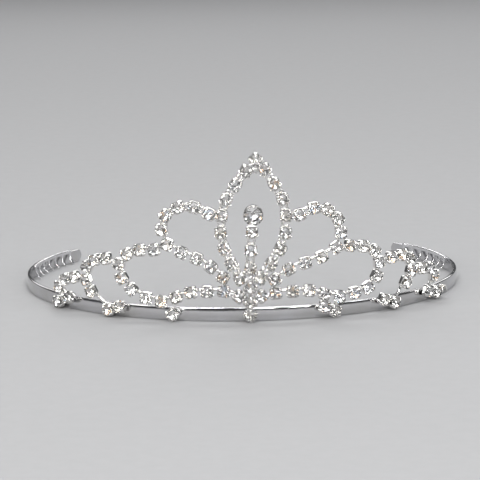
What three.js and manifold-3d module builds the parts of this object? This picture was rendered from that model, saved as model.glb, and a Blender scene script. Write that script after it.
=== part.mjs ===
// A bridal tiara: a polished flat headband open at the back, rhinestone cup chain bent into a pointed petal,
// loops and arcs that stand on its front, and a small side comb inside each end.
// Millimetres. +X runs to the right as seen from the front, +Y to the back of the head, +Z is up; left and
// right in the names are as seen from the front.
import * as THREE from 'three';
import { mergeVertices } from 'three/addons/utils/BufferGeometryUtils.js';
import Module from 'manifold-3d';

// ---- driving dimensions -------------------------------------------------------------------------------
const BAND_HALF_WIDTH = 70;
const BAND_HALF_DEPTH = 58;
const BAND_END_ANGLE = THREE.MathUtils.degToRad(130);
const BAND_HEIGHT = 4.4;
const BAND_THICKNESS = 0.9;
const BAND_STEPS = 57;

const GAP = 0.3;
const LEAN = 0.1;

const CUP_WIDTH = 3.7;
const CUP_HEIGHT = 1.3;
const CUP_SIDES = 8;
const CUP_RADIUS = CUP_WIDTH / 2 / Math.cos(Math.PI / CUP_SIDES);
const CUP_FLOOR = 0.3;
const CUP_LIP = 0.2;
const STONE_RADIUS = 1.75;
const STONE_TABLE = 1.05;
const STONE_DEPTH_RATIO = 0.55;
const STONE_GIRDLE_Z = 1.75;
const STONE_GIRDLE_THICKNESS = 0.3;
const STONE_TOP_Z = 2.7;

// A slim link is one strip near the upper edge of the cups, a wide link is two rails with a slot between.
const SLIM_LINK = { width: 1.1, offsets: [0], rise: 0.45 };
const WIDE_LINK = { width: 0.8, offsets: [-1, 1], rise: 0 };
const LINK_THICKNESS = 0.5;
const LINK_LIFT = 0.15;
const LINK_TRIM = 1;

const BIG_CUP_RADIUS = 3.2;
const BIG_CUP_HEIGHT = 1.7;
const BIG_CUP_SIDES = 16;
const BIG_CUP_LIP = 0.4;
const BIG_STONE_RADIUS = 2.7;
const BIG_STONE_SCALE = 1.3;
const BIG_PRONGS = 6;
const BIG_PRONG = { width: 0.6, height: 1.6, inset: 0.1, rise: 0.2 };

const COMB_START = 109.3;
const COMB_END = 136.5;
const COMB_TEETH = 7;
const COMB_TOOTH_WIDTH = 1.2;
const COMB_THICKNESS = 0.8;
const COMB_TOP_Z = 4.9;
const COMB_SPINE_HEIGHT = 1.3;
const COMB_TOOTH_FOOT_Z = 0.4;
const COMB_TOOTH_BEND = 1.6;
const COMB_TOOTH_TAPER = 0.6;
const COMB_STEPS = 8;

const WELD_DISTANCE = 1e-4;

// ---- materials ----------------------------------------------------------------------------------------
const bandMetal = new THREE.MeshStandardMaterial({ color: 0xc9cace, roughness: 0.08, metalness: 1 });
const settingMetal = new THREE.MeshStandardMaterial({ color: 0xd6d5d2, roughness: 0.18, metalness: 1 });
const combMetal = new THREE.MeshStandardMaterial({ color: 0xc4c4c6, roughness: 0.22, metalness: 1 });
const crystal = new THREE.MeshStandardMaterial({ color: 0xf1eee8, roughness: 0.03, metalness: 0 });

// ---- the jewelled strands -----------------------------------------------------------------------------
// Every place on the decoration is [s, z]: s is the length along the band's outer face from the front
// centre, + to the +X side, and z is the height. A strand is bent by hand through the points of its route,
// so the two sides differ a little, and its stones are spaced evenly from the first point to the last.
const STRANDS = [
  { name: 'petal_strand_left', link: WIDE_LINK, stones: 8,
    route: [[-3.5, 14], [-7.7, 22.5], [-8.9, 28.5], [-7.3, 38.5], [-1.7, 47.3]] },
  { name: 'petal_strand_right', link: WIDE_LINK, stones: 8,
    route: [[2.3, 14], [7.6, 22], [9.6, 28.5], [8.8, 38], [3.5, 47.7]] },
  { name: 'stamen_strand', link: WIDE_LINK, stones: 3,
    route: [[-0.6, 17], [-0.4, 23], [-0.1, 28.5]] },
  { name: 'upper_loop_left', link: WIDE_LINK, stones: 5, endJoin: [-24.6, 24.4],
    route: [[-12.2, 34.2], [-18.5, 36.7], [-24.6, 33.6], [-26, 29]] },
  { name: 'upper_loop_right', link: WIDE_LINK, stones: 5, endJoin: [24.9, 22.4],
    route: [[13.6, 33.4], [19.5, 35.4], [25, 31.3], [26.1, 26.9]] },
  { name: 'leaf_upper_left', link: SLIM_LINK, stones: 5,
    route: [[-8.5, 14.4], [-14, 19.2], [-20.5, 22], [-24.6, 24.4]] },
  { name: 'leaf_upper_right', link: SLIM_LINK, stones: 5,
    route: [[6.6, 13.4], [11, 16.7], [20.5, 19.8], [24.9, 22.4]] },
  { name: 'leaf_tip_left', link: SLIM_LINK, stones: 6, endJoin: [-31.9, 7.2],
    route: [[-28.6, 22.6], [-35.5, 21.6], [-39.9, 17.5], [-39.4, 13], [-36.5, 9.6]] },
  { name: 'leaf_tip_right', link: SLIM_LINK, stones: 6, endJoin: [31.4, 7.5],
    route: [[29.2, 22.6], [36.5, 20.9], [39.5, 15.8], [38.6, 11.5], [35.9, 8.6]] },
  { name: 'leaf_lower_left', link: SLIM_LINK, stones: 6, endJoin: [-3.9, 8.4],
    route: [[-31.9, 7.2], [-26.5, 6.4], [-19, 9.4], [-8.4, 10.1]] },
  { name: 'leaf_lower_right', link: SLIM_LINK, stones: 6,
    route: [[31.4, 7.5], [25.8, 6.8], [17, 9.4], [6.9, 9.2]] },
  { name: 'arc_2_left', link: SLIM_LINK, stones: 5, endJoin: [-44.8, 2.4],
    route: [[-44.3, 18.7], [-50.2, 16.8], [-52.3, 11.8], [-50.6, 7.4]] },
  { name: 'arc_2_right', link: SLIM_LINK, stones: 5, endJoin: [46.1, 2.5],
    route: [[43.7, 17.2], [49.8, 16.9], [52, 12.3], [50.1, 8.2]] },
  { name: 'arc_3_left', link: SLIM_LINK, stones: 3, endJoin: [-60.2, 3.6],
    route: [[-56.7, 11.3], [-60.6, 10], [-63.8, 7.1]] },
  { name: 'arc_3_right', link: SLIM_LINK, stones: 3, endJoin: [61, 3.7],
    route: [[56.4, 11.8], [60.3, 11.2], [63, 8.3]] },
];

// Short pieces of chain soldered to the band, whose stones are nodes of their own.
const FEET = [
  { name: 'foot_1_left', places: [[-23.9, 2.4]] },
  { name: 'foot_1_right', places: [[21.8, 3.9], [25.2, 2.4]] },
  { name: 'foot_2_left', places: [[-40.8, 2.9], [-44.8, 2.4]] },
  { name: 'foot_2_right', places: [[42, 4], [46.1, 2.5]] },
  { name: 'foot_3_left', places: [[-60.2, 3.6], [-65.1, 2.2]] },
  { name: 'foot_3_right', places: [[61, 3.7], [66.2, 2.7]] },
];

// Single stones, each in a cup of its own.
const SINGLES = [
  { name: 'apex', place: [1, 50.8] },
  { name: 'centre_top', place: [-0.6, 11] },
  { name: 'centre_left', place: [-3.9, 8.4] },
  { name: 'centre_right', place: [2.7, 8.4] },
  { name: 'centre_low', place: [-0.6, 6.45] },
  { name: 'centre_foot', place: [-0.6, 2.4] },
];
const BIG_STONE_PLACE = [0.3, 33.9];

// ---- the surface the decoration lies on ---------------------------------------------------------------
const FRONT_ANGLE = -Math.PI / 2;
const bandLine = new THREE.EllipseCurve(
  0, BAND_HALF_DEPTH, BAND_HALF_WIDTH, BAND_HALF_DEPTH,
  FRONT_ANGLE - BAND_END_ANGLE, FRONT_ANGLE + BAND_END_ANGLE,
);
bandLine.arcLengthDivisions = 2000;
const BAND_LENGTH = bandLine.getLength();

// Along, outward and position of the band's outer face at length s, offset outward.
function bandPlace(s, offset = 0) {
  const u = THREE.MathUtils.clamp(0.5 + s / BAND_LENGTH, 0, 1);
  const point = bandLine.getPointAt(u);
  const tangent = bandLine.getTangentAt(u);
  const along = new THREE.Vector3(tangent.x, tangent.y, 0);
  const outward = new THREE.Vector3(tangent.y, -tangent.x, 0);
  const position = new THREE.Vector3(point.x, point.y, 0).addScaledVector(outward, offset);
  return { along, outward, position };
}

// The local frame of a cup at [s, z]: x along the chain, z out through the stone, origin at the cup's back.
function cupFrame([s, z], [ds, dz] = [1, 0]) {
  const { along, outward, position } = bandPlace(s, GAP + LEAN * z);
  position.z = z;
  const upward = new THREE.Vector3(0, 0, 1).addScaledVector(outward, LEAN).normalize();
  const face = new THREE.Vector3().crossVectors(along, upward).normalize();
  const chain = new THREE.Vector3().addScaledVector(along, ds).addScaledVector(upward, dz).normalize();
  const across = new THREE.Vector3().crossVectors(face, chain);
  return new THREE.Matrix4().makeBasis(chain, across, face).setPosition(position);
}

// ---- solids -------------------------------------------------------------------------------------------
const wasm = await Module();
wasm.setup();

// A closed three.js geometry as a manifold solid, with its seams welded and its slivers dropped.
function toSolid(geometry) {
  const bare = new THREE.BufferGeometry();
  bare.setAttribute('position', geometry.getAttribute('position'));
  bare.setIndex(geometry.getIndex());
  const welded = mergeVertices(bare, WELD_DISTANCE);
  const index = welded.getIndex().array;
  const triangles = [];
  for (let i = 0; i < index.length; i += 3) {
    const [a, b, c] = [index[i], index[i + 1], index[i + 2]];
    if (a !== b && b !== c && c !== a) triangles.push(a, b, c);
  }
  const mesh = new wasm.Mesh({
    numProp: 3,
    vertProperties: new Float32Array(welded.getAttribute('position').array),
    triVerts: new Uint32Array(triangles),
  });
  return new wasm.Manifold(mesh);
}

function union(geometries) {
  return geometries.map(toSolid).reduce((whole, solid) => whole.add(solid));
}

function toGeometry(solid) {
  const mesh = solid.getMesh();
  const geometry = new THREE.BufferGeometry();
  geometry.setAttribute('position', new THREE.BufferAttribute(new Float32Array(mesh.vertProperties), 3));
  geometry.setIndex(new THREE.BufferAttribute(new Uint32Array(mesh.triVerts), 1));
  return geometry;
}

// A turned solid about +Z whose flat sides face along and across the chain.
function turned(profile, sides) {
  const points = profile.map(([r, z]) => new THREE.Vector2(r, z));
  const geometry = new THREE.LatheGeometry(points, sides, Math.PI / sides);
  return geometry.rotateX(Math.PI / 2);
}

function cup() {
  return turned([
    [0, 0], [CUP_RADIUS, 0], [CUP_RADIUS, CUP_HEIGHT],
    [STONE_RADIUS - CUP_LIP, CUP_HEIGHT], [0, CUP_FLOOR],
  ], CUP_SIDES);
}

function stone(radius = STONE_RADIUS, scale = 1) {
  const table = radius * (STONE_TABLE / STONE_RADIUS);
  const girdle = STONE_GIRDLE_Z * scale;
  const girdleTop = girdle + STONE_GIRDLE_THICKNESS;
  const culet = girdle - radius * STONE_DEPTH_RATIO;
  const top = STONE_TOP_Z * scale;
  return turned([
    [0, culet], [radius, girdle], [radius, girdleTop], [table, top], [0, top],
  ], scale === 1 ? CUP_SIDES : BIG_CUP_SIDES);
}

// Cup and stone as one closed solid, for the strands.
function jewelledCup() {
  return turned([
    [0, 0], [CUP_RADIUS, 0], [CUP_RADIUS, STONE_GIRDLE_Z], [STONE_TABLE, STONE_TOP_Z], [0, STONE_TOP_Z],
  ], CUP_SIDES);
}

// The flat strips of a link behind the cups, from one place towards another.
function linkBetween(from, to, link, startTrim, endTrim) {
  const step = [to[0] - from[0], to[1] - from[1]];
  const length = Math.hypot(...step);
  const middle = [from[0] + step[0] / 2, from[1] + step[1] / 2];
  const frame = cupFrame(middle, step);
  const rise = (link.rise * step[0]) / length;
  return link.offsets.map((offset) => {
    const strip = new THREE.BoxGeometry(length - startTrim - endTrim, link.width, LINK_THICKNESS);
    strip.translate((startTrim - endTrim) / 2, offset + rise, LINK_LIFT + LINK_THICKNESS / 2);
    return strip.applyMatrix4(frame);
  });
}

// ---- pieces -------------------------------------------------------------------------------------------
const tiara = new THREE.Group();

function addPiece(name, geometry, material, frame = new THREE.Matrix4()) {
  const mesh = new THREE.Mesh(geometry, material);
  mesh.name = name;
  frame.decompose(mesh.position, mesh.quaternion, mesh.scale);
  tiara.add(mesh);
}

// A strip that follows the band between two lengths, from one offset to another.
function bandStrip(from, to, outerOffset, innerOffset, steps, bottom, height) {
  const lengths = Array.from({ length: steps + 1 }, (_, i) => from + ((to - from) * i) / steps);
  const edge = (offset) => lengths.map((s) => bandPlace(s, offset).position);
  const outline = [...edge(outerOffset), ...edge(innerOffset).reverse()];
  const shape = new THREE.Shape(outline.map((p) => new THREE.Vector2(p.x, p.y)));
  return new THREE.ExtrudeGeometry(shape, { depth: height, bevelEnabled: false }).translate(0, 0, bottom);
}

function addHeadband() {
  const half = BAND_LENGTH / 2;
  const strip = bandStrip(-half, half, 0, -BAND_THICKNESS, BAND_STEPS, 0, BAND_HEIGHT);
  addPiece('headband', toGeometry(toSolid(strip)), bandMetal);
}

// One comb tooth: a flat bar down the inside of the band whose foot bends towards the head.
function combTooth(s) {
  const face = GAP;
  const middleZ = (COMB_TOP_Z + COMB_TOOTH_FOOT_Z) / 2;
  const side = new THREE.Shape();
  side.moveTo(face, COMB_TOP_Z);
  side.lineTo(face, middleZ);
  side.lineTo(face + COMB_TOOTH_BEND, COMB_TOOTH_FOOT_Z);
  side.lineTo(face + COMB_TOOTH_BEND + COMB_THICKNESS * COMB_TOOTH_TAPER, COMB_TOOTH_FOOT_Z);
  side.lineTo(face + COMB_THICKNESS, middleZ);
  side.lineTo(face + COMB_THICKNESS, COMB_TOP_Z);
  const bar = new THREE.ExtrudeGeometry(side, { depth: COMB_TOOTH_WIDTH, bevelEnabled: false });
  bar.translate(0, 0, -COMB_TOOTH_WIDTH / 2);
  const { along, outward, position } = bandPlace(s, -BAND_THICKNESS);
  const frame = new THREE.Matrix4().makeBasis(outward.clone().negate(), new THREE.Vector3(0, 0, 1), along);
  return bar.applyMatrix4(frame.setPosition(position));
}

function addComb(name, side) {
  const inset = BAND_THICKNESS + GAP;
  const spine = bandStrip(
    side * COMB_START, side * COMB_END, -inset, -inset - COMB_THICKNESS, COMB_STEPS,
    COMB_TOP_Z - COMB_SPINE_HEIGHT, COMB_SPINE_HEIGHT,
  );
  const pitch = (COMB_END - COMB_START - COMB_TOOTH_WIDTH) / (COMB_TEETH - 1);
  const teeth = Array.from({ length: COMB_TEETH }, (_, i) => {
    const s = COMB_START + COMB_TOOTH_WIDTH / 2 + pitch * i;
    return combTooth(side * s);
  });
  addPiece(name, toGeometry(union([spine, ...teeth])), combMetal);
}

// Evenly spaced places and directions along a route.
function spacedPlaces({ route, stones }) {
  const curve = new THREE.CatmullRomCurve3(route.map(([s, z]) => new THREE.Vector3(s, z, 0)));
  return Array.from({ length: stones }, (_, i) => {
    const u = i / (stones - 1);
    const point = curve.getPointAt(u);
    const tangent = curve.getTangentAt(u);
    return { place: [point.x, point.y], direction: [tangent.x, tangent.y] };
  });
}

function addStrand(strand) {
  const spots = spacedPlaces(strand);
  const solids = spots.map(({ place, direction }) => jewelledCup().applyMatrix4(cupFrame(place, direction)));
  for (let i = 1; i < spots.length; i += 1) {
    solids.push(...linkBetween(spots[i - 1].place, spots[i].place, strand.link, LINK_TRIM, LINK_TRIM));
  }
  if (strand.endJoin) {
    const last = spots[spots.length - 1].place;
    solids.push(...linkBetween(last, strand.endJoin, SLIM_LINK, LINK_TRIM, CUP_RADIUS + GAP));
  }
  addPiece(strand.name, toGeometry(union(solids)), settingMetal);
}

function addFoot({ name, places }) {
  const step = places.length > 1 ? [places[1][0] - places[0][0], places[1][1] - places[0][1]] : [1, 1];
  const solids = places.map((place) => cup().applyMatrix4(cupFrame(place, step)));
  if (places.length > 1) {
    solids.push(...linkBetween(places[0], places[1], SLIM_LINK, LINK_TRIM, LINK_TRIM));
  }
  addPiece(`${name}_setting`, toGeometry(union(solids)), settingMetal);
  places.forEach((place, i) => {
    addPiece(`${name}_stone_${i + 1}`, toGeometry(toSolid(stone())), crystal, cupFrame(place, step));
  });
}

function addSingle({ name, place }) {
  const frame = cupFrame(place, [1, 1]);
  addPiece(`${name}_setting`, toGeometry(toSolid(cup())), settingMetal, frame);
  addPiece(`${name}_stone`, toGeometry(toSolid(stone())), crystal, frame);
}

// The round setting on top of the stamen, with prongs around its stone.
function addBigStone() {
  const frame = cupFrame(BIG_STONE_PLACE);
  const seat = turned([
    [0, 0], [BIG_CUP_RADIUS, 0], [BIG_CUP_RADIUS, BIG_CUP_HEIGHT],
    [BIG_STONE_RADIUS - BIG_CUP_LIP, BIG_CUP_HEIGHT], [0, CUP_FLOOR],
  ], BIG_CUP_SIDES);
  const prongThickness = BIG_CUP_RADIUS - BIG_STONE_RADIUS - GAP;
  const prongs = Array.from({ length: BIG_PRONGS }, (_, i) => {
    const prong = new THREE.BoxGeometry(prongThickness, BIG_PRONG.width, BIG_PRONG.height);
    const centreX = BIG_CUP_RADIUS - BIG_PRONG.inset - prongThickness / 2;
    prong.translate(centreX, 0, BIG_CUP_HEIGHT + BIG_PRONG.rise);
    return prong.rotateZ((i * 2 * Math.PI) / BIG_PRONGS);
  });
  addPiece('big_stone_setting', toGeometry(union([seat, ...prongs])), settingMetal, frame);
  addPiece('big_stone', toGeometry(toSolid(stone(BIG_STONE_RADIUS, BIG_STONE_SCALE))), crystal, frame);
}

addHeadband();
addComb('side_comb_left', -1);
addComb('side_comb_right', 1);
STRANDS.forEach(addStrand);
FEET.forEach(addFoot);
SINGLES.forEach(addSingle);
addBigStone();

// The part's origin is the middle of its lowest level.
const box = new THREE.Box3().setFromObject(tiara, true);
const middle = box.getCenter(new THREE.Vector3());
tiara.position.set(-middle.x, -middle.y, -box.min.z);
tiara.updateMatrixWorld(true);

export default tiara;
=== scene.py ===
"""The looks of the bridal tiara: polished band, pronged cups, cut stones, links, solder and side combs."""

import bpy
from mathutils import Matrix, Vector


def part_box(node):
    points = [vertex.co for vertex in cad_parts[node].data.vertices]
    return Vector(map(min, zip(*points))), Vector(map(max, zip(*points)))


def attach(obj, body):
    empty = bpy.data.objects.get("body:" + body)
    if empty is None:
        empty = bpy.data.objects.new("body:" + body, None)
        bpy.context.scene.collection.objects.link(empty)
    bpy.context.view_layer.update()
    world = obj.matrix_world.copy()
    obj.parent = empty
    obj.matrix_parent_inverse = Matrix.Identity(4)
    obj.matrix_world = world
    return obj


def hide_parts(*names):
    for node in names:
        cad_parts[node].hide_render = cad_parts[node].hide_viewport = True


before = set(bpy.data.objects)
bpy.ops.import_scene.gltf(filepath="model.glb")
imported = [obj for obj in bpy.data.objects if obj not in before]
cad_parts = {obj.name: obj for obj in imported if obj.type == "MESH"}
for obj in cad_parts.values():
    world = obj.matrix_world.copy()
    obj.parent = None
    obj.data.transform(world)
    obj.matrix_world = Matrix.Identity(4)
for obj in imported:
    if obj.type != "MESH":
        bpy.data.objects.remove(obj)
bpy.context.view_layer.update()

import math
import random

import bpy
import numpy as np
from mathutils import Euler, Matrix, Vector, noise

# ---- the design, as the CAD model has it, in millimetres -----------------------------------------------
BAND_HALF_WIDTH = 70.0
BAND_HALF_DEPTH = 58.0
BAND_END_ANGLE = math.radians(130)
BAND_HEIGHT = 4.4
BAND_THICKNESS = 0.9
GAP = 0.3
LEAN = 0.1
SLIM_LINK = {"half_width": 0.56, "rise": 0.45, "dome": 0.24, "slotted": False}
WIDE_LINK = {"half_width": 1.5, "rise": 0.0, "dome": 0.3, "slotted": True}

# Places on the decoration are (s, z): s along the band's outer face from the front centre, z the height.
# A strand is a route of places, the number of its stones, its kind of link and the place it is joined to.
STRANDS = {
    "petal_strand_left": (
        [(-3.5, 14), (-7.7, 22.5), (-8.9, 28.5), (-7.3, 38.5), (-1.7, 47.3)], 8, WIDE_LINK, None),
    "petal_strand_right": (
        [(2.3, 14), (7.6, 22), (9.6, 28.5), (8.8, 38), (3.5, 47.7)], 8, WIDE_LINK, None),
    "stamen_strand": ([(-0.6, 17), (-0.4, 23), (-0.1, 28.5)], 3, WIDE_LINK, None),
    "upper_loop_left": (
        [(-12.2, 34.2), (-18.5, 36.7), (-24.6, 33.6), (-26, 29)], 5, WIDE_LINK, (-24.6, 24.4)),
    "upper_loop_right": (
        [(13.6, 33.4), (19.5, 35.4), (25, 31.3), (26.1, 26.9)], 5, WIDE_LINK, (24.9, 22.4)),
    "leaf_upper_left": ([(-8.5, 14.4), (-14, 19.2), (-20.5, 22), (-24.6, 24.4)], 5, SLIM_LINK, None),
    "leaf_upper_right": ([(6.6, 13.4), (11, 16.7), (20.5, 19.8), (24.9, 22.4)], 5, SLIM_LINK, None),
    "leaf_tip_left": (
        [(-28.6, 22.6), (-35.5, 21.6), (-39.9, 17.5), (-39.4, 13), (-36.5, 9.6)],
        6, SLIM_LINK, (-31.9, 7.2)),
    "leaf_tip_right": (
        [(29.2, 22.6), (36.5, 20.9), (39.5, 15.8), (38.6, 11.5), (35.9, 8.6)],
        6, SLIM_LINK, (31.4, 7.5)),
    "leaf_lower_left": (
        [(-31.9, 7.2), (-26.5, 6.4), (-19, 9.4), (-8.4, 10.1)], 6, SLIM_LINK, (-3.9, 8.4)),
    "leaf_lower_right": ([(31.4, 7.5), (25.8, 6.8), (17, 9.4), (6.9, 9.2)], 6, SLIM_LINK, None),
    "arc_2_left": ([(-44.3, 18.7), (-50.2, 16.8), (-52.3, 11.8), (-50.6, 7.4)], 5, SLIM_LINK, (-44.8, 2.4)),
    "arc_2_right": ([(43.7, 17.2), (49.8, 16.9), (52, 12.3), (50.1, 8.2)], 5, SLIM_LINK, (46.1, 2.5)),
    "arc_3_left": ([(-56.7, 11.3), (-60.6, 10), (-63.8, 7.1)], 3, SLIM_LINK, (-60.2, 3.6)),
    "arc_3_right": ([(56.4, 11.8), (60.3, 11.2), (63, 8.3)], 3, SLIM_LINK, (61, 3.7)),
}
# The cups of each foot, from the middle of the tiara outwards.
FEET = {
    "foot_1_left": [(-23.9, 2.4)],
    "foot_1_right": [(21.8, 3.9), (25.2, 2.4)],
    "foot_2_left": [(-40.8, 2.9), (-44.8, 2.4)],
    "foot_2_right": [(42, 4), (46.1, 2.5)],
    "foot_3_left": [(-60.2, 3.6), (-65.1, 2.2)],
    "foot_3_right": [(61, 3.7), (66.2, 2.7)],
}
SINGLES = {
    "apex": (1, 50.8),
    "centre_top": (-0.6, 11),
    "centre_left": (-3.9, 8.4),
    "centre_right": (2.7, 8.4),
    "centre_low": (-0.6, 6.45),
    "centre_foot": (-0.6, 2.4),
}
BIG_STONE_PLACE = (0.3, 33.9)

COMB_START = 109.3
COMB_END = 136.5
COMB_TEETH = 7
COMB_TOP = 4.9
COMB_SPINE_HEIGHT = 1.3
COMB_THICKNESS = 0.8
COMB_TOOTH_WIDTH = 1.2
COMB_FOOT = 0.4
COMB_BEND = 1.6

# ---- what only the looks have, in millimetres ----------------------------------------------------------
BAND_EDGE = 0.3
BAND_CROWN = 0.24
BAND_END_ROUND = 2.2
COMB_SPINE_ROUND = 0.9

CUP_HALF = 1.96
CUP_WALL = 0.2
CUP_FLOOR = 0.28
CUP_BACK_DOME = 0.12
# The width of a cup's back, as a share of its width at the claws.
CUP_BACK_SHARE = 0.9
STONE_RADIUS = 1.75
BIG_CUP_HALF = 3.12
BIG_STONE_RADIUS = 2.95

# A link starts a little above the cups' backs and bows out in the middle, where it is narrower by a share.
LINK_THICKNESS = 0.4
LINK_LIFT = 0.12
LINK_BOW = 0.15
LINK_WAIST = 0.14
# How far from a cup's centre a link ends, in the chain and where the strand is joined to another piece.
LINK_TRIM = 1.2
JOIN_TRIM = 1.4
SLOT_HALF_WIDTH = 0.62
SLOT_MARGIN = 0.42
SLOT_LEAST_HALF = 0.22

# The end of a snipped link, bent up beside its cup, which bows and flares out and gets narrower by a share.
TAB = {
    "thickness": 0.28, "width": 2.6, "corner": 0.12, "taper": 0.1,
    "foot": 0.3, "height": 2.0, "gap": 0.1, "bow": 0.5, "flare": 0.4,
}
# Cups that have one, and the side it is on, in degrees from the chain.
TABS = {("foot_1_left", 1): 0, ("foot_3_right", 2): 40, ("arc_2_left", 5): 90, ("arc_2_right", 5): -90}
# Cups soldered on askew: how far each is turned about the chain and about the line across it, in degrees.
ASKEW = {("foot_2_left", 1): (40, 0), ("foot_3_left", 1): (35, 0), ("foot_3_right", 2): (14, -24)}
# The direction of the chain for a cup that stands on its corner and has no chain.
CORNERWISE = (1, 1)
# How far the big stone is turned in its cup, in radians.
BIG_STONE_TURN = 0.2
# How much every small cup is turned and tilted at random: the standard deviations, in degrees.
TURN_SPREAD = 3.5
TILT_SPREAD = 2.5

# Cups of different pieces with their centres nearer than this are joined by a drop of solder.
SOLDER_REACH = 4.9
# Such a drop ends this far from both centres. Its half size up is drawn at random between two values.
DROP_SHORTFALL = 1.15
DROP_HALF_HEIGHTS = (0.5, 0.75)
DROP_HALF_DEPTH = 0.5
DROP_LIFT = 0.75
# The lump behind a cup on the band: half sizes along, up and out, and height above the cup's back.
SOLDER_FOOT = (1.25, 1.2, 0.4)
SOLDER_FOOT_LIFT = -0.05
# The depth and the frequency of the waves in a drop's skin.
SOLDER_WAVES = ((0.22, 1.3), (0.08, 3.5))
# Lumps where no two cups touch: place, half sizes along, up and out, and height above the cups' backs.
EXTRA_DROPS = [((0.95, 47.6), (1.5, 1.2, 0.6), 0.75), ((-0.6, 13.9), (1.4, 1.1, 0.6), 0.7)]

# The shares of foil facets that look warm and cool, and their tints.
WARM_SHARE, WARM_TINT = 0.05, (1.0, 0.8, 0.6)
COOL_SHARE, COOL_TINT = 0.015, (0.78, 0.88, 1.0)

MM = 0.001
FRONT_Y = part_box("headband")[0].y / MM

rng = random.Random(11)


# ---- the surface the decoration lies on ----------------------------------------------------------------
def ellipse(angle):
    """The point of the band's outer face at an angle from the front centre."""
    return np.array([BAND_HALF_WIDTH * math.sin(angle), BAND_HALF_DEPTH * (1 - math.cos(angle))])


TABLE_ANGLES = np.linspace(-BAND_END_ANGLE, BAND_END_ANGLE, 4001)
TABLE_POINTS = np.array([ellipse(a) for a in TABLE_ANGLES])
TABLE_LENGTHS = np.concatenate([[0], np.cumsum(np.linalg.norm(np.diff(TABLE_POINTS, axis=0), axis=1))])
BAND_LENGTH = TABLE_LENGTHS[-1]


def band_place(s, offset=0.0):
    """The along and outward directions and the point of the band's outer face at length s, moved outward."""
    angle = float(np.interp(s + BAND_LENGTH / 2, TABLE_LENGTHS, TABLE_ANGLES))
    along = Vector((BAND_HALF_WIDTH * math.cos(angle), BAND_HALF_DEPTH * math.sin(angle), 0))
    along.normalize()
    outward = Vector((along.y, -along.x, 0))
    x, y = ellipse(angle)
    return along, outward, Vector((x, y, 0)) + outward * offset


def basis(x, y, z, origin):
    """The matrix of a frame with these axes and origin."""
    matrix = Matrix((x, y, z)).transposed().to_4x4()
    matrix.translation = origin
    return matrix


def cup_frame(place, direction=(1, 0)):
    """The frame of a cup: x along the chain, z out through the stone, origin at the cup's back."""
    s, z = place
    along, outward, point = band_place(s, GAP + LEAN * z)
    point.z = z
    upward = (Vector((0, 0, 1)) + outward * LEAN).normalized()
    face = along.cross(upward).normalized()
    chain = (along * direction[0] + upward * direction[1]).normalized()
    return basis(chain, face.cross(chain), face, point)


# ---- the routes of the strands -------------------------------------------------------------------------
def catmull_rom(route, samples=60):
    """A centripetal Catmull-Rom curve through the route, as closely spaced points."""
    points = [Vector((p[0], p[1])) for p in route]
    padded = [points[0] * 2 - points[1], *points, points[-1] * 2 - points[-2]]
    curve = []
    for p0, p1, p2, p3 in zip(padded, padded[1:], padded[2:], padded[3:]):
        d0, d1, d2 = ((b - a).length ** 0.5 for a, b in ((p0, p1), (p1, p2), (p2, p3)))
        m1 = ((p1 - p0) / d0 - (p2 - p0) / (d0 + d1) + (p2 - p1) / d1) * d1
        m2 = ((p2 - p1) / d1 - (p3 - p1) / (d1 + d2) + (p3 - p2) / d2) * d1
        for i in range(samples):
            t = i / samples
            a = p1 * (2 * t**3 - 3 * t**2 + 1) + m1 * (t**3 - 2 * t**2 + t)
            curve.append(a + p2 * (-2 * t**3 + 3 * t**2) + m2 * (t**3 - t**2))
    curve.append(points[-1])
    return np.array(curve)


def spaced_places(route, count):
    """Evenly spaced places along a route, with the direction of the chain at each."""
    reach = 0.1
    curve = catmull_rom(route)
    lengths = np.concatenate([[0], np.cumsum(np.linalg.norm(np.diff(curve, axis=0), axis=1))])

    def at(length):
        return np.array([np.interp(length, lengths, curve[:, k]) for k in (0, 1)])

    spots = []
    for i in range(count):
        here = lengths[-1] * i / (count - 1)
        ahead = min(here + reach, lengths[-1])
        behind = max(here - reach, 0)
        spots.append((tuple(at(here)), tuple(at(ahead) - at(behind))))
    return spots


def turned_to_join(spots, join):
    """The last cup turned halfway towards the place that the strand is joined to."""
    place, direction = spots[-1]
    heading = Vector(direction).normalized() + (Vector(join) - Vector(place)).normalized()
    return [*spots[:-1], (place, tuple(heading))]


# ---- mesh gathering ------------------------------------------------------------------------------------
class Gathering:
    """Points and faces of several shapes, with a material number and a tint for each face."""

    def __init__(self):
        self.points = []
        self.faces = []
        self.slots = []
        self.tints = []
        self.count = 0

    def add(self, shape, place=None, tints=None):
        """Adds a shape, which is points, faces and, on a stone, the material number of each face."""
        points, faces = np.asarray(shape[0], float), shape[1]
        if place is not None:
            matrix = np.array(place)
            points = points @ matrix[:3, :3].T + matrix[:3, 3]
        self.points.append(points)
        self.faces += [[i + self.count for i in face] for face in faces]
        self.slots += shape[2] if len(shape) > 2 else [0] * len(faces)
        self.tints += tints or [(1.0, 1.0, 1.0)] * len(faces)
        self.count += len(points)

    def build(self, name, materials, smooth_angle=None):
        """The object, in metres in the row frame, riding on the root body."""
        points = np.concatenate(self.points)
        points[:, 1] += FRONT_Y
        mesh = bpy.data.meshes.new(name)
        mesh.from_pydata((points * MM).tolist(), [], self.faces)
        for material in materials:
            mesh.materials.append(material)
        mesh.polygons.foreach_set("material_index", self.slots)
        tint = mesh.color_attributes.new("tint", "FLOAT_COLOR", "CORNER")
        colours = np.ones((len(mesh.loops), 4), np.float32)
        totals = [len(face) for face in self.faces]
        colours[:, :3] = np.repeat(np.array(self.tints, np.float32), totals, axis=0)
        tint.data.foreach_set("color", colours.ravel())
        if smooth_angle is not None:
            mesh.polygons.foreach_set("use_smooth", [True] * len(mesh.polygons))
            mesh.set_sharp_from_angle(angle=math.radians(smooth_angle))
        mesh.update()
        obj = bpy.data.objects.new(name, mesh)
        bpy.context.scene.collection.objects.link(obj)
        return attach(obj, "root")


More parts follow.
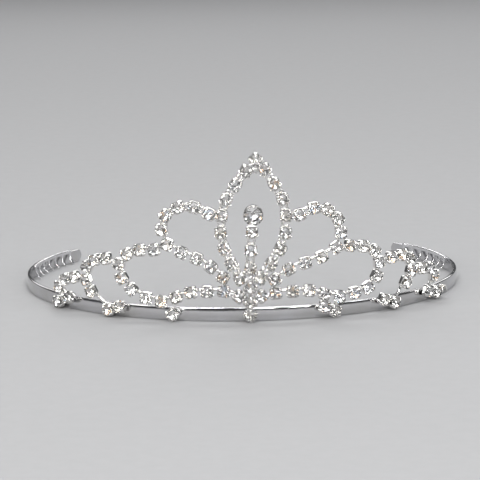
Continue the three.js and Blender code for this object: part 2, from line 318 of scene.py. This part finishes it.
def grid_faces(rows, columns, closed=True):
    """Quads between rows of points, each row a ring (or an open line) of columns points."""
    last = columns if closed else columns - 1
    return [
        [r * columns + c, r * columns + (c + 1) % columns, (r + 1) * columns + (c + 1) % columns,
         (r + 1) * columns + c]
        for r in range(rows - 1) for c in range(last)
    ]


def sweep(sections):
    """A solid through rings of equal point count, with its two ends closed."""
    columns = len(sections[0])
    points = [tuple(p) for ring in sections for p in ring]
    faces = grid_faces(len(sections), columns)
    faces.append(list(range(columns))[::-1])
    faces.append([(len(sections) - 1) * columns + c for c in range(columns)])
    return points, faces


def rounded_rectangle(width, height, radius, corner_steps=4):
    """Points anticlockwise round a rectangle with rounded corners, centred on the origin."""
    ring = []
    corners = ((1, 1, 0), (-1, 1, 90), (-1, -1, 180), (1, -1, 270))
    for sx, sy, start in corners:
        for i in range(corner_steps + 1):
            a = math.radians(start + 90 * i / corner_steps)
            ring.append((
                sx * (width / 2 - radius) + radius * math.cos(a),
                sy * (height / 2 - radius) + radius * math.sin(a),
            ))
    return ring


def domed_strip(width, thickness, dome, steps=8):
    """Points anticlockwise round a strip that lies on its flat side, its upper side domed."""
    bevel_in, bevel_up = 0.05, 0.08
    low = -thickness / 2
    edge = [(width / 2 - bevel_in, low), (width / 2, low + bevel_up)]
    top = [width * (0.5 - i / steps) for i in range(steps + 1)]
    upper = [(x, thickness / 2 + dome * (1 - (2 * x / width) ** 2)) for x in top]
    return edge + upper + [(-x, z) for x, z in reversed(edge)]


# ---- cut stones ----------------------------------------------------------------------------------------
CROWN, FOIL = 0, 1


def cut_stone(radius, culet, girdle, top, table=0.56, star=0.77, lower=0.42, girdle_thickness=0.16, folds=8):
    """A round brilliant: table, stars, kites and upper girdle facets over a foiled pavilion.

    The heights are over the cup's back. The table, the tips of the stars and the corners of the lower
    facets are at shares of the radius.
    """
    upper = girdle + girdle_thickness
    step = 2 * math.pi / folds
    table_r, star_r, lower_r = radius * table, radius * star, radius * lower
    slope = (top - upper) / (radius - table_r)
    star_z = upper + (radius - star_r * math.cos(step / 2)) * slope
    lower_z = culet + (girdle - culet) * lower_r * math.cos(step / 2) / radius

    def ring(r, z, turn, count=folds):
        angles = [(i + turn) * 2 * math.pi / count for i in range(count)]
        return [(r * math.cos(a), r * math.sin(a), z) for a in angles]

    rings = [
        ring(table_r, top, 0), ring(star_r, star_z, 0.5), ring(radius, upper, 0, 2 * folds),
        ring(radius, girdle, 0, 2 * folds), ring(lower_r, lower_z, 0.5), [(0, 0, culet)],
    ]
    starts = np.cumsum([0] + [len(r) for r in rings])
    t, m, g, h, low, tip = (int(v) for v in starts[:6])
    faces, slots = [list(range(t, t + folds))], [CROWN]
    for i in range(folds):
        j, k = (i + 1) % folds, (i - 1) % folds
        a, b, c = 2 * i, 2 * i + 1, (2 * i + 2) % (2 * folds)
        crown = [
            [t + i, m + i, t + j], [t + i, m + k, g + a, m + i],
            [m + i, g + a, g + b], [m + i, g + b, g + c],
            [g + a, h + a, h + b, g + b], [g + b, h + b, h + c, g + c],
        ]
        pavilion = [
            [h + a, low + i, h + b], [h + b, low + i, h + c], [h + a, low + k, tip, low + i],
        ]
        faces += crown + pavilion
        slots += [CROWN] * len(crown) + [FOIL] * len(pavilion)
    return [p for r in rings for p in r], faces, slots


def stone_tints(slots):
    """A tint for each facet: the foil is silver with a few warm and a very few cool facets."""
    warmth = rng.uniform(0.0, 0.5)
    tints = []
    for slot in slots:
        if slot == CROWN:
            tints.append((1.0, 1.0, 1.0))
            continue
        chance = rng.random()
        level = rng.uniform(0.9, 1.0)
        if chance < WARM_SHARE:
            tints.append(WARM_TINT)
        elif chance < WARM_SHARE + COOL_SHARE:
            tints.append(COOL_TINT)
        else:
            tints.append((level, level * (1 - 0.04 * warmth), level * (1 - 0.12 * warmth)))
    return tints


SMALL_STONE = cut_stone(STONE_RADIUS, culet=0.35, girdle=1.7, top=2.6)
BIG_STONE = cut_stone(BIG_STONE_RADIUS, culet=0.5, girdle=2.25, top=3.5, table=0.55)


# ---- pronged cups --------------------------------------------------------------------------------------
def pronged_cup(half, rim, claw_tips, claws, narrowness, squareness, claw_start, reach, sides):
    """A pressed cup with thin walls and a slightly domed back, its rim rising into claws.

    The claws rise from the height rim to claw_tips, and a larger narrowness makes them narrower. Above
    claw_start they bend in over the stone, by reach at their tips. A squareness of 2 makes a round cup, and
    a larger one makes it squarer.
    """
    outer_rows = (0.0, 0.03, 0.09, 0.3, 0.55, 0.75, 0.9, 1.0)
    inner_rows = (1.0, 0.9, 0.75, 0.5)
    back_rings = (0.3, 0.65, 0.88)
    floor_share = 0.8

    def point(angle, v, inset):
        lobe = abs(math.sin(angle * claws / 2)) ** narrowness
        z = v * (rim + (claw_tips - rim) * lobe)
        powers = abs(math.cos(angle)) ** squareness + abs(math.sin(angle)) ** squareness
        square = powers ** (-1 / squareness)
        flare = CUP_BACK_SHARE + (1 - CUP_BACK_SHARE) * min(z / claw_start, 1) ** 0.6
        bend = max(z - claw_start, 0) / (claw_tips - claw_start)
        r = half * square * flare - reach * bend**1.6 - inset
        return (r * math.cos(angle), r * math.sin(angle), z)

    angles = [2 * math.pi * (i + 0.5) / sides for i in range(sides)]
    outside = [[point(a, v, 0) for a in angles] for v in outer_rows]
    inside = [[point(a, v, CUP_WALL) for a in angles] for v in inner_rows]
    floor = [[(x * floor_share, y * floor_share, CUP_FLOOR) for x, y, _ in inside[-1]]]
    back = [
        [(x * share, y * share, -CUP_BACK_DOME * (1 - share * share)) for x, y, _ in outside[0]]
        for share in back_rings
    ]
    rings = back + outside + inside + floor
    points = [p for ring in rings for p in ring]
    faces = grid_faces(len(rings), sides)
    faces.append(list(range(sides))[::-1])
    last = (len(rings) - 1) * sides
    faces.append(list(range(last, last + sides)))
    return points, faces


SMALL_CUP = pronged_cup(
    CUP_HALF, rim=1.5, claw_tips=2.4, claws=4, narrowness=7, squareness=4.3, claw_start=1.6, reach=0.85,
    sides=48)
BIG_CUP = pronged_cup(
    BIG_CUP_HALF, rim=2.05, claw_tips=2.85, claws=14, narrowness=2.2, squareness=2.0, claw_start=2.1,
    reach=0.5, sides=112)


def loosened(matrix):
    """The frame turned and tilted a little about the middle of the cup, as a hand-set cup is."""
    spreads = (TILT_SPREAD, TILT_SPREAD, TURN_SPREAD)
    angles = [math.radians(rng.gauss(0, spread)) for spread in spreads]
    pivot = Matrix.Translation((0, 0, 1))
    return matrix @ pivot @ Euler(angles).to_matrix().to_4x4() @ pivot.inverted()


# ---- links and solder ----------------------------------------------------------------------------------
def link(gathering, start, end, kind, end_trim=LINK_TRIM):
    """A pressed strip behind the cups between two places; a wide one has an oval slot between its rails."""
    step = (end[0] - start[0], end[1] - start[1])
    length = math.hypot(*step)
    frame_here = cup_frame(((start[0] + end[0]) / 2, (start[1] + end[1]) / 2), step)
    rise = kind["rise"] * step[0] / length
    slot = max(length / 2 - CUP_HALF - SLOT_MARGIN, SLOT_LEAST_HALF)
    for side in (-1, 1) if kind["slotted"] else (0,):
        sections = []
        for x in np.linspace(-length / 2 + LINK_TRIM, length / 2 - end_trim, 17):
            middle = math.cos(math.pi * x / length) ** 4
            outer = kind["half_width"] * (1 - LINK_WAIST * middle)
            inner = -outer
            if side:
                inner = max(SLOT_HALF_WIDTH * math.sqrt(max(1 - (x / slot) ** 2, 0)), 0.01)
            ring = domed_strip(outer - inner, LINK_THICKNESS, kind["dome"])
            shift = (side or 1) * (outer + inner) / 2 + rise
            lift = LINK_LIFT + LINK_THICKNESS / 2 + LINK_BOW * middle
            sections.append([frame_here @ Vector((x, y + shift, z + lift)) for y, z in ring])
        gathering.add(sweep(sections))


def side_tab(seat, turn):
    """The end of a snipped link, bent up beside its cup."""
    matrix = seat @ Matrix.Rotation(turn, 4, "Z")
    steps = 8
    sections = []
    for i in range(steps + 1):
        t = i / steps
        out = CUP_HALF + TAB["gap"] + TAB["bow"] * math.sin(t * math.pi / 2) + TAB["flare"] * t
        z = TAB["foot"] + TAB["height"] * t
        width = TAB["width"] * (1 - TAB["taper"] * t * t)
        ring = rounded_rectangle(TAB["thickness"], width, TAB["corner"])
        sections.append([matrix @ Vector((out + x, y, z)) for x, y in ring])
    return sweep(sections)


def sphere_points(rings=10, columns=16):
    """The points and faces of a ball of radius one."""
    points = [(0, 0, 1)]
    for i in range(1, rings):
        polar = math.pi * i / rings
        for j in range(columns):
            turn = 2 * math.pi * j / columns
            radius = math.sin(polar)
            points.append((radius * math.cos(turn), radius * math.sin(turn), math.cos(polar)))
    points.append((0, 0, -1))
    faces = [[0, 1 + j, 1 + (j + 1) % columns] for j in range(columns)]
    faces += [[i + 1 for i in face] for face in grid_faces(rings - 1, columns)]
    last = len(points) - 1
    start = 1 + (rings - 2) * columns
    faces += [[last, start + (j + 1) % columns, start + j] for j in range(columns)]
    return points, faces


BALL = sphere_points()


def solder(matrix, half_sizes):
    """A frozen drop of solder: a squashed ball whose skin wanders a little."""
    seed = Vector((rng.uniform(-50, 50), rng.uniform(-50, 50), rng.uniform(-50, 50)))
    points = []
    for p in BALL[0]:
        swell = 1 + sum(depth * noise.noise(Vector(p) * often + seed) for depth, often in SOLDER_WAVES)
        points.append(tuple(matrix @ Vector([c * h * swell for c, h in zip(p, half_sizes)])))
    return points, BALL[1]


# ---- materials -----------------------------------------------------------------------------------------
def new_material(name):
    material = bpy.data.materials.new(name)
    material.use_nodes = True
    tree = material.node_tree
    return material, tree, tree.nodes["Principled BSDF"]


def add_node(tree, kind, values=None, **settings):
    made = tree.nodes.new(kind)
    for key, value in settings.items():
        setattr(made, key, value)
    for key, value in (values or {}).items():
        made.inputs[key].default_value = value
    return made


def noise_factor(tree, coordinates, scale, detail=3.0, rough=0.5, stretch=None):
    """A noise value, optionally on stretched coordinates."""
    if stretch is not None:
        mapping = add_node(tree, "ShaderNodeMapping", {"Scale": stretch})
        tree.links.new(coordinates, mapping.inputs["Vector"])
        coordinates = mapping.outputs["Vector"]
    texture = add_node(tree, "ShaderNodeTexNoise", {"Scale": scale, "Detail": detail, "Roughness": rough})
    tree.links.new(coordinates, texture.inputs["Vector"])
    return texture.outputs["Fac"]


def mapped(tree, factor, low, high, start=0.35, end=0.65):
    """The factor's middle range spread over low to high."""
    made = add_node(tree, "ShaderNodeMapRange", {
        "From Min": start, "From Max": end, "To Min": low, "To Max": high})
    tree.links.new(factor, made.inputs["Value"])
    return made.outputs["Result"]


def blended(tree, factor, first, second):
    """A colour that goes from the first to the second over the factor's middle range."""
    ramp = add_node(tree, "ShaderNodeValToRGB")
    low, high = ramp.color_ramp.elements
    low.position, low.color = 0.35, (*first, 1)
    high.position, high.color = 0.65, (*second, 1)
    tree.links.new(factor, ramp.inputs["Fac"])
    return ramp.outputs["Color"]


def bumped(tree, height, strength, distance, shader):
    bump = add_node(tree, "ShaderNodeBump", {"Strength": strength, "Distance": distance})
    tree.links.new(height, bump.inputs["Height"])
    tree.links.new(bump.outputs["Normal"], shader.inputs["Normal"])


def added(tree, first, second):
    made = add_node(tree, "ShaderNodeMath", operation="ADD")
    tree.links.new(first, made.inputs[0])
    tree.links.new(second, made.inputs[1])
    return made.outputs[0]


def band_material():
    """Mirror-polished plated strip: long polishing hairlines, a soft wave and handling smudges."""
    material, tree, shader = new_material("polished_band")
    shader.inputs["Metallic"].default_value = 1.0
    coordinates = add_node(tree, "ShaderNodeTexCoord")
    along, solid = coordinates.outputs["UV"], coordinates.outputs["Object"]
    hairlines = noise_factor(tree, along, 1.0, 4.0, 0.6, (60, 260, 1))
    smudges = noise_factor(tree, solid, 70.0, 4.0, 0.6)
    wave = noise_factor(tree, solid, 55.0, 1.0, 0.3)
    colour = blended(tree, smudges, (0.66, 0.66, 0.68), (0.58, 0.575, 0.57))
    tree.links.new(colour, shader.inputs["Base Color"])
    fine = mapped(tree, hairlines, 0.02, 0.07)
    hazy = mapped(tree, smudges, 0.0, 0.07, 0.45, 0.75)
    tree.links.new(added(tree, fine, hazy), shader.inputs["Roughness"])
    height = added(tree, mapped(tree, wave, 0.0, 1.0, 0.2, 0.8), mapped(tree, hairlines, 0.0, 0.02))
    bumped(tree, height, 0.5, 0.0002, shader)
    return material


def setting_material(name, light, dark, gloss, bump_scale, bump_depth):
    """Bright plated metal with a slightly uneven skin and duller patches."""
    material, tree, shader = new_material(name)
    shader.inputs["Metallic"].default_value = 1.0
    solid = add_node(tree, "ShaderNodeTexCoord").outputs["Object"]
    patches = noise_factor(tree, solid, 420.0, 3.0, 0.55)
    skin = noise_factor(tree, solid, bump_scale, 4.0, 0.6)
    tree.links.new(blended(tree, patches, light, dark), shader.inputs["Base Color"])
    tree.links.new(mapped(tree, patches, gloss[0], gloss[1]), shader.inputs["Roughness"])
    bumped(tree, skin, 0.6, bump_depth, shader)
    return material


def crown_material():
    """Clear cut glass."""
    material, tree, shader = new_material("crystal_crown")
    shader.inputs["Transmission Weight"].default_value = 1.0
    shader.inputs["IOR"].default_value = 1.56
    solid = add_node(tree, "ShaderNodeTexCoord").outputs["Object"]
    haze = noise_factor(tree, solid, 600.0, 2.0, 0.5)
    tree.links.new(blended(tree, haze, (1.0, 1.0, 1.0), (0.97, 0.975, 0.98)), shader.inputs["Base Color"])
    tree.links.new(mapped(tree, haze, 0.0, 0.02), shader.inputs["Roughness"])
    return material


def foil_material():
    """The silvered back of the stones, seen through the glass."""
    material, tree, shader = new_material("crystal_foil")
    shader.inputs["Metallic"].default_value = 1.0
    solid = add_node(tree, "ShaderNodeTexCoord").outputs["Object"]
    patches = noise_factor(tree, solid, 900.0, 2.0, 0.5)
    tint = add_node(tree, "ShaderNodeVertexColor", layer_name="tint")
    shade = add_node(tree, "ShaderNodeMix", data_type="RGBA", blend_type="MULTIPLY")
    shade.inputs["Factor"].default_value = 1.0
    tree.links.new(tint.outputs["Color"], shade.inputs[6])
    tree.links.new(blended(tree, patches, (0.98, 0.98, 0.98), (0.92, 0.92, 0.93)), shade.inputs[7])
    tree.links.new(shade.outputs[2], shader.inputs["Base Color"])
    tree.links.new(mapped(tree, patches, 0.03, 0.1), shader.inputs["Roughness"])
    return material


def floor_material():
    """Matt pale paper with a faint grain."""
    material, tree, shader = new_material("studio_floor")
    solid = add_node(tree, "ShaderNodeTexCoord").outputs["Object"]
    grain = noise_factor(tree, solid, 220.0, 3.0, 0.6)
    colour = blended(tree, grain, (0.39, 0.39, 0.395), (0.38, 0.38, 0.385))
    tree.links.new(colour, shader.inputs["Base Color"])
    shader.inputs["Roughness"].default_value = 0.75
    return material


BAND = band_material()
SETTING = setting_material(
    "plated_setting", light=(0.93, 0.92, 0.90), dark=(0.80, 0.79, 0.77), gloss=(0.05, 0.16),
    bump_scale=2600.0, bump_depth=0.00002)
SOLDER = setting_material(
    "solder", light=(0.80, 0.80, 0.80), dark=(0.62, 0.61, 0.60), gloss=(0.16, 0.34),
    bump_scale=1500.0, bump_depth=0.00005)
COMB = setting_material(
    "plated_comb", light=(0.82, 0.82, 0.83), dark=(0.70, 0.70, 0.71), gloss=(0.1, 0.24),
    bump_scale=1800.0, bump_depth=0.00002)
STONE_MATERIALS = [crown_material(), foil_material()]


# ---- headband ------------------------------------------------------------------------------------------
def rounded_end(inset, radius, least):
    """The width of a round end at an inset from its tip, as a share of the full width.

    The share's square is never under least, so that the tip keeps some width.
    """
    return math.sqrt(max(1 - max(1 - inset / radius, 0) ** 2, least))


def band_section(height):
    """A strip on edge with rounded edges, its outer face crowned a little and its inner face hollow."""
    corner_steps, side_steps = 6, 8
    edge = min(BAND_EDGE, height * 0.4)
    side = [height / 2 - edge - (height - 2 * edge) * i / side_steps for i in range(1, side_steps)]
    corners = rounded_rectangle(BAND_THICKNESS, height, edge, corner_steps)
    half_way = 2 * (corner_steps + 1)
    ring = corners[:half_way] + [(-BAND_THICKNESS / 2, z) for z in side]
    ring += corners[half_way:] + [(BAND_THICKNESS / 2, -z) for z in side]
    return [(x - BAND_CROWN * (2 * z / BAND_HEIGHT) ** 2, z) for x, z in ring]


def build_headband():
    """The strip swept round the oval, its edges rounded and its ends cut to a half round."""
    half = BAND_LENGTH / 2
    first_inset = 0.02
    middle = list(np.linspace(-half + BAND_END_ROUND, half - BAND_END_ROUND, 261))
    end_turns = [math.pi / 2 * i / 8 for i in range(8)]
    insets = [first_inset + BAND_END_ROUND * (1 - math.cos(turn)) for turn in end_turns]
    stations = [-half + inset for inset in insets] + middle + [half - inset for inset in reversed(insets)]
    sections = []
    for s in stations:
        _, outward, point = band_place(s)
        ring = band_section(BAND_HEIGHT * rounded_end(half - abs(s), BAND_END_ROUND, 0.02))
        centre = point - outward * (BAND_THICKNESS / 2) + Vector((0, 0, BAND_HEIGHT / 2))
        sections.append([centre + outward * x + Vector((0, 0, z)) for x, z in ring])
    gathering = Gathering()
    gathering.add(sweep(sections))
    band = gathering.build("polished_headband", [BAND], smooth_angle=40)
    columns, rows = len(sections[0]), len(sections)
    layer = band.data.uv_layers.new(name="along_band")
    for polygon in band.data.polygons:
        for loop in polygon.loop_indices:
            row, column = divmod(band.data.loops[loop].vertex_index, columns)
            # The last face between two rings closes them, and its far side lies at the end of the texture.
            wrapped = columns if column == 0 and polygon.index % columns == columns - 1 else column
            layer.data[loop].uv = (row / (rows - 1), wrapped / columns)
    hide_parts("headband")


# ---- side combs ----------------------------------------------------------------------------------------
def comb_tooth(s):
    """A flat tapering finger that bends in towards the head and ends round."""
    along, outward, point = band_place(s, -BAND_THICKNESS)
    inward = -outward
    steps = 14
    foot = COMB_FOOT + 0.15
    # From here on these are shares of the tooth's length: its round ends close a little beyond it.
    bend_start = 0.35
    head_round, tip_round, overrun = 0.14, 0.2, 0.02
    sections = []
    for i in range(steps + 1):
        t = i / steps
        z = COMB_TOP + (foot - COMB_TOP) * t
        bend = (max(t - bend_start, 0) / (1 - bend_start)) ** 2
        depth = GAP + COMB_THICKNESS / 2 + COMB_BEND * bend
        head = rounded_end(t + overrun, head_round, 0.05)
        tip = rounded_end(1 + overrun - t, tip_round, 0.05)
        width = COMB_TOOTH_WIDTH * (1 - 0.25 * t) * tip * head
        thickness = COMB_THICKNESS * (1 - 0.4 * t)
        ring = rounded_rectangle(width, thickness, min(width, thickness) * 0.4)
        centre = point + inward * depth + Vector((0, 0, z))
        sections.append([centre + along * x + inward * y for x, y in ring])
    return sweep(sections)


def build_comb(name, side):
    """The spine along the band's inner face, with its teeth; side is -1 on the left and 1 on the right."""
    gathering = Gathering()
    stations = np.linspace(COMB_START, COMB_END, 41)
    sections = []
    for s in stations:
        _, outward, point = band_place(side * s, -BAND_THICKNESS - GAP - COMB_THICKNESS / 2)
        inset = min(s - COMB_START, COMB_END - s)
        height = COMB_SPINE_HEIGHT * rounded_end(inset, COMB_SPINE_ROUND, 0.1)
        ring = rounded_rectangle(COMB_THICKNESS * 0.9, height, 0.25 * height)
        centre = point + Vector((0, 0, COMB_TOP - COMB_SPINE_HEIGHT / 2))
        ring = [centre + outward * x + Vector((0, 0, z)) for x, z in ring]
        sections.append(ring if side > 0 else ring[::-1])
    gathering.add(sweep(sections))
    pitch = (COMB_END - COMB_START - COMB_TOOTH_WIDTH) / (COMB_TEETH - 1)
    for i in range(COMB_TEETH):
        gathering.add(comb_tooth(side * (COMB_START + COMB_TOOTH_WIDTH / 2 + pitch * i)))
    comb = gathering.build(name + "_plated", [COMB], smooth_angle=45)
    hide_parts(name)


# ---- strands, feet and single stones -------------------------------------------------------------------
def add_cup_and_stone(metal, stones, place, direction, askew=(0, 0), tab=None):
    """A cup and its stone, each set with a random turn, and the bent end of a link when a side is given."""
    about_chain, across_chain = (math.radians(angle) for angle in askew)
    tipped = Matrix.Rotation(about_chain, 4, "X") @ Matrix.Rotation(across_chain, 4, "Y")
    seat = loosened(cup_frame(place, direction)) @ tipped
    metal.add(SMALL_CUP, seat)
    spin = Matrix.Rotation(rng.uniform(0, math.pi / 4), 4, "Z")
    stones.add(SMALL_STONE, seat @ spin, tints=stone_tints(SMALL_STONE[2]))
    if tab is not None:
        metal.add(side_tab(seat, math.radians(tab)))


def finish_metal(gathering, name, node):
    metal = gathering.build(name, [SETTING], smooth_angle=38)
    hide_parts(node)


def finish_stones(gathering, name, *nodes):
    stones = gathering.build(name, STONE_MATERIALS)
    if nodes:
        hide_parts(*nodes)


def build_strand(name, spots, kind, join):
    """A chain of cups, its links behind them and a last link to the place it is joined to."""
    metal, stones = Gathering(), Gathering()
    if join:
        spots = turned_to_join(spots, join)
    for i, (place, direction) in enumerate(spots, 1):
        add_cup_and_stone(metal, stones, place, direction, tab=TABS.get((name, i)))
    for (here, _), (there, _) in zip(spots, spots[1:]):
        link(metal, here, there, kind)
    if join:
        link(metal, spots[-1][0], join, SLIM_LINK, JOIN_TRIM)
    finish_metal(metal, name + "_chain", name)
    finish_stones(stones, name + "_stones")


def build_foot(name, places):
    """One or two cups on the band in one piece, with each stone as a piece of its own."""
    step = CORNERWISE
    if len(places) > 1:
        step = (places[1][0] - places[0][0], places[1][1] - places[0][1])
    metal = Gathering()
    for i, place in enumerate(places, 1):
        stones = Gathering()
        askew = ASKEW.get((name, i), (0, 0))
        add_cup_and_stone(metal, stones, place, step, askew, TABS.get((name, i)))
        finish_stones(stones, f"{name}_cut_stone_{i}", f"{name}_stone_{i}")
    if len(places) > 1:
        link(metal, places[0], places[1], SLIM_LINK)
    finish_metal(metal, name + "_cups", name + "_setting")


def build_single(name, place):
    metal, stones = Gathering(), Gathering()
    add_cup_and_stone(metal, stones, place, CORNERWISE)
    finish_metal(metal, name + "_cup", name + "_setting")
    finish_stones(stones, name + "_cut_stone", name + "_stone")


def build_big_stone():
    seat = cup_frame(BIG_STONE_PLACE)
    metal, stones = Gathering(), Gathering()
    metal.add(BIG_CUP, seat)
    turned = seat @ Matrix.Rotation(BIG_STONE_TURN, 4, "Z")
    stones.add(BIG_STONE, turned, tints=stone_tints(BIG_STONE[2]))
    finish_metal(metal, "big_stone_cup", "big_stone_setting")
    finish_stones(stones, "big_cut_stone", "big_stone")


def build_solder(cups):
    """A drop of solder wherever cups of different pieces touch, and behind each cup on the band."""
    gathering = Gathering()
    for i, (owner, place) in enumerate(cups):
        for other, there in cups[i + 1:]:
            step = (there[0] - place[0], there[1] - place[1])
            length = math.hypot(*step)
            if owner != other and length < SOLDER_REACH:
                middle = ((place[0] + there[0]) / 2, (place[1] + there[1]) / 2)
                matrix = cup_frame(middle, step) @ Matrix.Translation((0, 0, DROP_LIFT))
                half_sizes = (length / 2 - DROP_SHORTFALL, rng.uniform(*DROP_HALF_HEIGHTS), DROP_HALF_DEPTH)
                gathering.add(solder(matrix, half_sizes))
        if place[1] < BAND_HEIGHT:
            matrix = cup_frame(place) @ Matrix.Translation((0, 0, SOLDER_FOOT_LIFT))
            gathering.add(solder(matrix, SOLDER_FOOT))
    for place, half_sizes, lift in EXTRA_DROPS:
        gathering.add(solder(cup_frame(place) @ Matrix.Translation((0, 0, lift)), half_sizes))
    drops = gathering.build("solder_drops", [SOLDER], smooth_angle=60)


# ---- the object ----------------------------------------------------------------------------------------
build_headband()
build_comb("side_comb_left", -1)
build_comb("side_comb_right", 1)
all_cups = []
for strand_name, (route, count, kind, join) in STRANDS.items():
    spots = spaced_places(route, count)
    build_strand(strand_name, spots, kind, join)
    all_cups += [(strand_name, place) for place, _ in spots]
for foot_name, places in FEET.items():
    build_foot(foot_name, places)
    all_cups += [(foot_name, place) for place in places]
for single_name, place in SINGLES.items():
    build_single(single_name, place)
    all_cups.append((single_name, place))
build_big_stone()
build_solder(all_cups)


# ---- the studio, in metres -----------------------------------------------------------------------------
FLOOR_RADIUS = 6
LIGHT_TARGET = (0, 0, 0.02)
WHITE = (1, 1, 1)
# Name, position, size, power in watts and colour.
SOFTBOXES = [
    ("key_above", (0, 0.05, 0.8), (0.95, 0.7), 4.0, WHITE),
    ("front_top", (0, -0.62, 0.95), (0.8, 0.4), 3.4, WHITE),
    ("front_left", (-0.85, -0.75, 0.5), (0.42, 0.4), 3.2, (1.0, 0.98, 0.95)),
    ("front_right", (0.88, -0.7, 0.52), (0.42, 0.4), 3.0, (0.96, 0.98, 1.0)),
    ("rim_behind", (0.05, 0.95, 0.5), (1.2, 0.3), 3.4, WHITE),
    ("side_left", (-0.95, 0.1, 0.25), (0.2, 0.45), 1.2, WHITE),
    ("side_right", (0.95, 0.15, 0.25), (0.2, 0.45), 1.2, WHITE),
]
# The x and z of small lights in front, which the facets catch as sparks.
SPARKS = [
    (-0.22, 0.34), (0.2, 0.4), (-0.05, 0.5), (0.12, 0.2),
    (-0.42, 0.24), (0.4, 0.22), (-0.3, 0.6), (0.3, 0.66),
]
SPARK_Y = -0.9
SPARK_SIZE = (0.08, 0.08)
SPARK_POWER = 0.65
WORLD_STRENGTH = 0.36

# The camera's distance is from a pivot behind the band's front. It aims a little left of it and below it.
CAMERA_PIVOT = Vector((0, (FRONT_Y + 50) * MM, 20 * MM))
CAMERA_AZIMUTH = math.radians(-2.87)
CAMERA_ELEVATION = math.radians(11.07)
CAMERA_ROLL = math.radians(-0.66)
CAMERA_DISTANCE = 0.747
CAMERA_LENS = 174.15
CAMERA_AIM = (-0.0010, -0.0048)


def build_floor():
    mesh = bpy.data.meshes.new("floor")
    turns = np.linspace(0, 2 * math.pi, 64, endpoint=False)
    rim = [(FLOOR_RADIUS * math.cos(a), FLOOR_RADIUS * math.sin(a), 0) for a in turns]
    mesh.from_pydata(rim, [], [list(range(len(rim)))])
    mesh.materials.append(floor_material())
    floor = bpy.data.objects.new("floor", mesh)
    bpy.context.scene.collection.objects.link(floor)


def softbox(name, position, size, power, colour):
    """A soft light that faces the object."""
    light = bpy.data.lights.new(name, "AREA")
    light.shape = "RECTANGLE"
    light.size, light.size_y = size
    light.energy = power
    light.color = colour
    obj = bpy.data.objects.new(name, light)
    obj.location = position
    obj.rotation_euler = (Vector(LIGHT_TARGET) - Vector(position)).to_track_quat("-Z", "Y").to_euler()
    bpy.context.scene.collection.objects.link(obj)


def build_world():
    """A grey room, darker at the horizon than overhead, which gives the metal its contrast."""
    world = bpy.data.worlds.new("studio")
    world.use_nodes = True
    tree = world.node_tree
    background = tree.nodes["Background"]
    background.inputs["Strength"].default_value = WORLD_STRENGTH
    coordinates = add_node(tree, "ShaderNodeTexCoord")
    split = add_node(tree, "ShaderNodeSeparateXYZ")
    tree.links.new(coordinates.outputs["Generated"], split.inputs["Vector"])
    ramp = add_node(tree, "ShaderNodeValToRGB")
    horizon, overhead = ramp.color_ramp.elements
    horizon.position, horizon.color = 0.0, (0.17, 0.17, 0.175, 1)
    overhead.position, overhead.color = 0.8, (0.6, 0.61, 0.63, 1)
    tree.links.new(split.outputs["Z"], ramp.inputs["Fac"])
    tree.links.new(ramp.outputs["Color"], background.inputs["Color"])
    bpy.context.scene.world = world
    bpy.context.scene.view_settings.view_transform = "Standard"


def build_camera():
    """Looks along +Y from a little to the left and 11 degrees above."""
    level = math.cos(CAMERA_ELEVATION)
    back = Vector((
        math.sin(CAMERA_AZIMUTH) * level, -math.cos(CAMERA_AZIMUTH) * level, math.sin(CAMERA_ELEVATION)))
    data = bpy.data.cameras.new("camera")
    data.sensor_width = 36.0
    data.lens = CAMERA_LENS
    data.clip_start, data.clip_end = 0.01, 20
    camera = bpy.data.objects.new("camera", data)
    camera.location = CAMERA_PIVOT + back * CAMERA_DISTANCE
    right = (-back).cross(Vector((0, 0, 1))).normalized()
    up = right.cross(-back)
    aim = CAMERA_PIVOT + right * CAMERA_AIM[0] + up * CAMERA_AIM[1]
    facing = (aim - camera.location).to_track_quat("-Z", "Y").to_matrix().to_4x4()
    camera.rotation_euler = (facing @ Matrix.Rotation(CAMERA_ROLL, 4, "Z")).to_euler()
    bpy.context.scene.collection.objects.link(camera)
    bpy.context.scene.camera = camera


build_floor()
build_world()
build_camera()
for box in SOFTBOXES:
    softbox(*box)
for i, (x, z) in enumerate(SPARKS):
    softbox(f"spark_{i}", (x, SPARK_Y, z), SPARK_SIZE, SPARK_POWER, WHITE)
